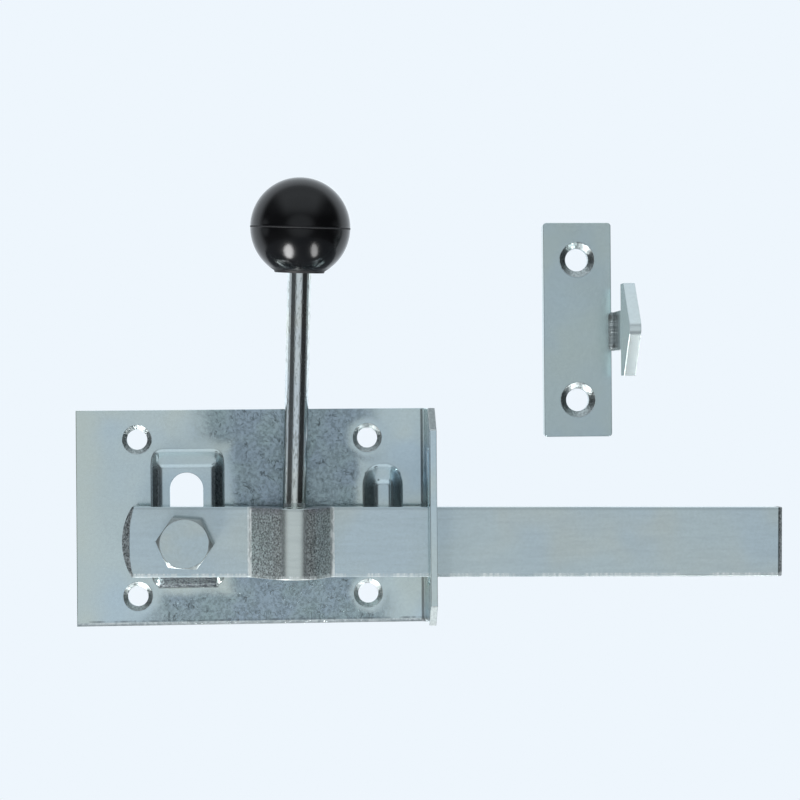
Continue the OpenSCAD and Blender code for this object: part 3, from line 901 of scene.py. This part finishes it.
def plate_blank():
    """Working mesh of the pressed and bent sheet, before its holes are cut."""
    work = bmesh.new()
    stations = plate_stations()
    heights = plate_heights()
    last, top = len(stations) - 1, len(heights) - 1

    def vertex(x, depth, z):
        return work.verts.new(Vector((x, -depth, z)) * MM)

    front, back = [], []
    for x, depth, nx, nd, half, _ in stations:
        bent = depth > SHEET or nx != 0
        front_line, back_line = [], []
        for z in heights:
            z *= (half - roll_at(depth, z < 0)[0]) / (heights[-1] if z > 0 else -heights[0])
            rise = 0.0 if bent else pressed(x, z, 0.0)
            hollow = 0.0 if bent else pressed(x, z, SHEET)
            front_line.append(vertex(x, depth + rise, z))
            back_line.append(vertex(x - nx * SHEET, depth - nd * SHEET + hollow, z))
        front.append(front_line)
        back.append(back_line)
    for grid in (front, back):
        for i in range(last):
            for j in range(top):
                work.faces.new((grid[i][j], grid[i + 1][j], grid[i + 1][j + 1], grid[i][j + 1]))

    edge = [(i, 0) for i in range(last)] + [(last, j) for j in range(top)]
    edge += [(i, top) for i in range(last, 0, -1)] + [(0, j) for j in range(top, 0, -1)]
    rows = [[front[i][j] for i, j in edge]]
    for share in spread(0, 1, 6)[1:]:
        rows.append([edge_vertex(work, stations, front, i, j, top, share) for i, j in edge])
    for in_from_edge, up_from_back in ((0.0, BACK_EDGE), (BACK_EDGE, 0.0)):
        rows.append([back_edge_vertex(work, stations, front, i, j, top, in_from_edge, up_from_back)
                     for i, j in edge])
    rows.append([back[i][j] for i, j in edge])
    for upper, lower in zip(rows, rows[1:]):
        for i in range(len(edge)):
            j = (i + 1) % len(edge)
            work.faces.new((upper[i], upper[j], lower[j], lower[i]))
    bmesh.ops.recalc_face_normals(work, faces=work.faces)
    return work


def edge_way(stations, i, j, top):
    """Step from the sheet's front to its outline at a place on its edge, and how deep the edge is rolled."""
    x, depth, nx, nd, half, (out, up) = stations[i]
    roll, deep = roll_at(depth, j == 0)
    side = -1 if j == 0 else (1 if j == top else 0)
    step = Vector((0, -out * roll, side * up * roll)) if side else Vector()
    if i == 0:
        step.x = -EDGE_ROLL[0]
    if i == len(stations) - 1:
        step = Vector((0, -EDGE_ROLL[0], side * math.tan(math.pi / 8) * EDGE_ROLL[0]))
    return step, deep


def edge_vertex(work, stations, front, i, j, top, share):
    """Point on the rolled front edge of the sheet: a slow curve at its lower edge, and a round elsewhere."""
    step, deep = edge_way(stations, i, j, top)
    normal = Vector((stations[i][2], -stations[i][3], 0))
    turn = share * math.pi / 2
    out, down = (share, share ** 2) if j == 0 else (math.sin(turn), 1 - math.cos(turn))
    return work.verts.new(front[i][j].co + (step * out - normal * deep * down) * MM)


def back_edge_vertex(work, stations, front, i, j, top, in_from_edge, up_from_back):
    """Point on the back edge of the sheet."""
    step, deep = edge_way(stations, i, j, top)
    normal = Vector((stations[i][2], -stations[i][3], 0))
    short = step * (1 - in_from_edge / step.length)
    return work.verts.new(front[i][j].co + (short - normal * (SHEET - up_from_back)) * MM)


def plate_cutters():
    """Working mesh of everything that is punched and drilled out of the sheet, with broken rims."""
    cutters = bmesh.new()
    sink = (CSK_R - HOLE_R) / math.tan(CSK_HALF_ANGLE)
    hole = [(-0.3, HOLE_R + 0.5), (0.2, HOLE_R), (SHEET - sink, HOLE_R),
            (SHEET - 0.1, CSK_R - 0.17), (SHEET + 0.1, CSK_R + 0.45), (SHEET + 1, CSK_R + 0.45)]
    slot_back, slot_front = PRESS_RISE, SHEET + PRESS_RISE
    slot = [(slot_back - 0.3, 0.5), (slot_back + 0.2, 0), (slot_front - 0.3, 0), (slot_front - 0.1, 0.05),
            (slot_front + 0.1, 0.25), (slot_front + 1, 0.25)]
    inner = PLATE_RIGHT - SHEET
    window = [(inner - 0.4, 0.8), (inner + 0.4, 0), (PLATE_RIGHT - 0.4, 0), (PLATE_RIGHT + 0.4, 0.8)]
    made = []
    for side in (-1, 1):
        for up in (-1, 1):
            x, z = side * HOLE_X, up * HOLE_Z
            made.append(stack(ring(72), hole, lambda u, v, h: Vector((x + u, -h, z + v)) * MM))
    oblong = rounded(SLOT_R, SLOT_HALF + SLOT_R, SLOT_R, 24)
    made.append(stack(oblong, slot, lambda u, v, h: Vector((BOSS["x"] + u, -h, v)) * MM))
    opening = rounded(WINDOW_HALF_W, WINDOW_HALF_H, WINDOW_R, 8)
    made.append(stack(opening, window, lambda u, v, h: Vector((h, -WINDOW_MIDDLE - u, v)) * MM))
    for cutter in made:
        mesh = bpy.data.meshes.new("cutter")
        cutter.to_mesh(mesh)
        cutter.free()
        cutters.from_mesh(mesh)
        bpy.data.meshes.remove(mesh)
    return cutters


def pressed_plate(material):
    """Pressed sheet with its holes, its slot and its window."""
    piece = make_piece(plate_blank(), "pressed_plate", material)
    cut_away(piece, plate_cutters(), material)
    piece.data.set_sharp_from_angle(angle=math.radians(32))
    even_shading(piece)
    place_piece(piece, "base_plate", "mount")


def tail_cutter():
    """Working mesh of what is ground off the front of the bar's round tail, outside a wide cone."""
    x, z = tail_middle()
    over, under, clear = 0.5, 4.0, 9.0
    section = [(TAIL_CURVE - over, BAR_FRONT + over), (TAIL_CURVE + under, BAR_FRONT - under),
               (TAIL_CURVE + clear, BAR_FRONT - under), (TAIL_CURVE + clear, BAR_FRONT + over)]
    turns = [(turn, 0) for turn in spread(-TAIL_SWEEP, TAIL_SWEEP, 61)]

    def place(out, depth, turn):
        return Vector((x - out * math.cos(turn), -depth, z + out * math.sin(turn))) * MM
    return stack(lambda offset: section, turns, place)


def rod_frame(middle):
    """Matrix that carries the rod's own upright frame, centred in the ball, to its place."""
    tilt = Matrix.Rotation(BAR_DROP, 4, "Y") @ Matrix.Rotation(ROD_TILT, 4, "Y")
    return Matrix.Translation(middle) @ tilt @ Matrix.Rotation(ROD_LEAN, 4, "X")


def ball_middle():
    """Centre of the ball, from the top and the sides of its box."""
    low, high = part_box("ball_knob")
    return Vector(((low.x + high.x) / 2, (low.y + high.y) / 2, high.z - BALL_R * MM))


def ball_levels():
    """Heights and radii up the ball: the rod's hole, the flat foot with its short rim, and the sphere with
    its moulding line."""
    foot = -BALL_FOOT * BALL_R
    levels = [(foot + 4, ROD_R), (foot + 0.3, ROD_R), (foot, ROD_R + 0.3),
              (foot, FOOT_RIM - 0.25), (foot + 0.2, FOOT_RIM)]
    start = math.acos((FOOT_RIM + 0.15) / BALL_R)
    seam = SEAM_HALF / BALL_R
    turns = spread(-start, -seam, 26) + spread(-seam, seam, 7)[1:-1] + spread(seam, math.pi / 2 - 0.002, 34)
    for turn in turns:
        rise = SEAM_RISE * max(0.0, 1 - abs(turn) / seam)
        levels.append((BALL_R * math.sin(turn), BALL_R * math.cos(turn) + rise))
    return levels


def black_knob():
    """Moulded ball on the end of the rod."""
    carried = rod_frame(ball_middle())
    work = stack(ring(128), ball_levels(), lambda u, v, h: carried @ (Vector((u, v, h)) * MM))
    axis = carried.to_3x3() @ Vector((0, 0, 1))
    piece = make_piece(work, "black_knob", black_plastic(ball_middle(), axis))
    piece.data.set_sharp_from_angle(angle=math.radians(50))
    place_piece(piece, "ball_knob", "arm")


def bead_tree():
    """Geometry Nodes tree that lays overlapping drops of weld metal along the lines of a mesh."""
    tree = bpy.data.node_groups.new("weld_bead", "GeometryNodeTree")
    for label, kind, value in (("Path", "NodeSocketGeometry", None), ("Radius", "NodeSocketFloat", 2 * MM),
                               ("Spacing", "NodeSocketFloat", 1 * MM), ("Seed", "NodeSocketInt", 7),
                               ("Material", "NodeSocketMaterial", None)):
        socket = tree.interface.new_socket(label, in_out="INPUT", socket_type=kind)
        if value is not None:
            socket.default_value = value
    tree.interface.new_socket("Bead", in_out="OUTPUT", socket_type="NodeSocketGeometry")
    given = tree.nodes.new("NodeGroupInput").outputs
    line = add(tree, "GeometryNodeMeshToCurve", {"Mesh": given["Path"]})
    spaced = {"Curve": line.outputs[0], "Length": given["Spacing"]}
    drops = add(tree, "GeometryNodeResampleCurve", spaced, mode="LENGTH")
    drop = add(tree, "GeometryNodeMeshIcoSphere", {"Radius": given["Radius"], "Subdivisions": 3})
    range_of_sizes = {"Min": (0.86, 0.86, 0.8), "Max": (1.0, 1.0, 1.0), "Seed": given["Seed"]}
    size = add(tree, "FunctionNodeRandomValue", range_of_sizes, data_type="FLOAT_VECTOR")
    set_down = {"Points": drops.outputs[0], "Instance": drop.outputs["Mesh"], "Scale": size.outputs["Value"]}
    laid = add(tree, "GeometryNodeInstanceOnPoints", set_down)
    solid = add(tree, "GeometryNodeRealizeInstances", {"Geometry": laid.outputs[0]})
    smooth = add(tree, "GeometryNodeSetShadeSmooth", {"Geometry": solid.outputs[0]})
    finish = {"Geometry": smooth.outputs[0], "Material": given["Material"]}
    plated = add(tree, "GeometryNodeSetMaterial", finish)
    end = tree.nodes.new("NodeGroupOutput")
    tree.links.new(plated.outputs[0], end.inputs["Bead"])
    return tree


def weld_run(tree, name, node, body, material, lines, radius, spacing, seed):
    """Run of weld metal along straight lines, given as pairs of points in millimetres."""
    path = bpy.data.meshes.new(name)
    points = [Vector(p) * MM for line in lines for p in line]
    path.from_pydata(points, [(i, i + 1) for i in range(0, len(points), 2)], [])
    piece = bpy.data.objects.new(name, path)
    bpy.context.scene.collection.objects.link(piece)
    laid = piece.modifiers.new("weld_bead", "NODES")
    laid.node_group = tree
    values = {"Radius": radius * MM, "Spacing": spacing * MM, "Seed": seed, "Material": material}
    for item in tree.interface.items_tree:
        if item.in_out == "INPUT" and item.name in values:
            laid[item.identifier] = values[item.name]
    whole = bpy.data.meshes.new_from_object(piece.evaluated_get(bpy.context.evaluated_depsgraph_get()))
    piece.modifiers.clear()
    piece.data = whole
    place_piece(piece, node, body)


make_camera()
make_world()
make_floor()
make_lamps()
bpy.context.scene.view_settings.view_transform = "Standard"

TINT = make_tint_group()
CRINKLE = make_crinkle_group()
GRAIN = make_grain_group()

bar = zinc_bar()
bolt = zinc_bolt()
rod = zinc_rod()
keeper = zinc_keeper("zinc_keeper", (0.545, 0.65, 0.655, 1), (0.552, 0.65, 0.635, 1), (0.53, 0.643, 0.675, 1))
# Painted light: the hook takes the keeper's zinc made lighter, for the light that its ramps catch
hook = zinc_keeper("zinc_hook", (0.77, 0.86, 0.86, 1), (0.78, 0.86, 0.83, 1), (0.75, 0.85, 0.88, 1))
weld = weld_metal()
pressed_plate(zinc_sheet())
edged_copy("pivot_bolt", "hex_bolt", "mount", bolt, 0.3)
edged_copy("pivot_bush", "pivot_sleeve", "mount", bolt, 0.3)
edged_copy("pivot_nut", "oblong_nut", "mount", bolt, 0.4)
edged_copy("latch_bar", "flat_bar", "arm", bar, 1.1, 4, cutters=tail_cutter())
edged_copy("handle_rod", "round_rod", "arm", rod, 0.5)
black_knob()
edged_copy("keeper_plate", "keeper_flat", "mount", keeper, 0.4)
edged_copy("keeper_hook", "keeper_arrow", "mount", hook, 0.2)
bead = bead_tree()
weld_run(bead, "keeper_bead", "keeper_weld", "mount", weld, KEEPER_BEADS, 1.9, 0.6, 3)
weld_run(bead, "rod_beads", "rod_weld", "arm", weld, ROD_BEADS, 2.5, 1.0, 5)
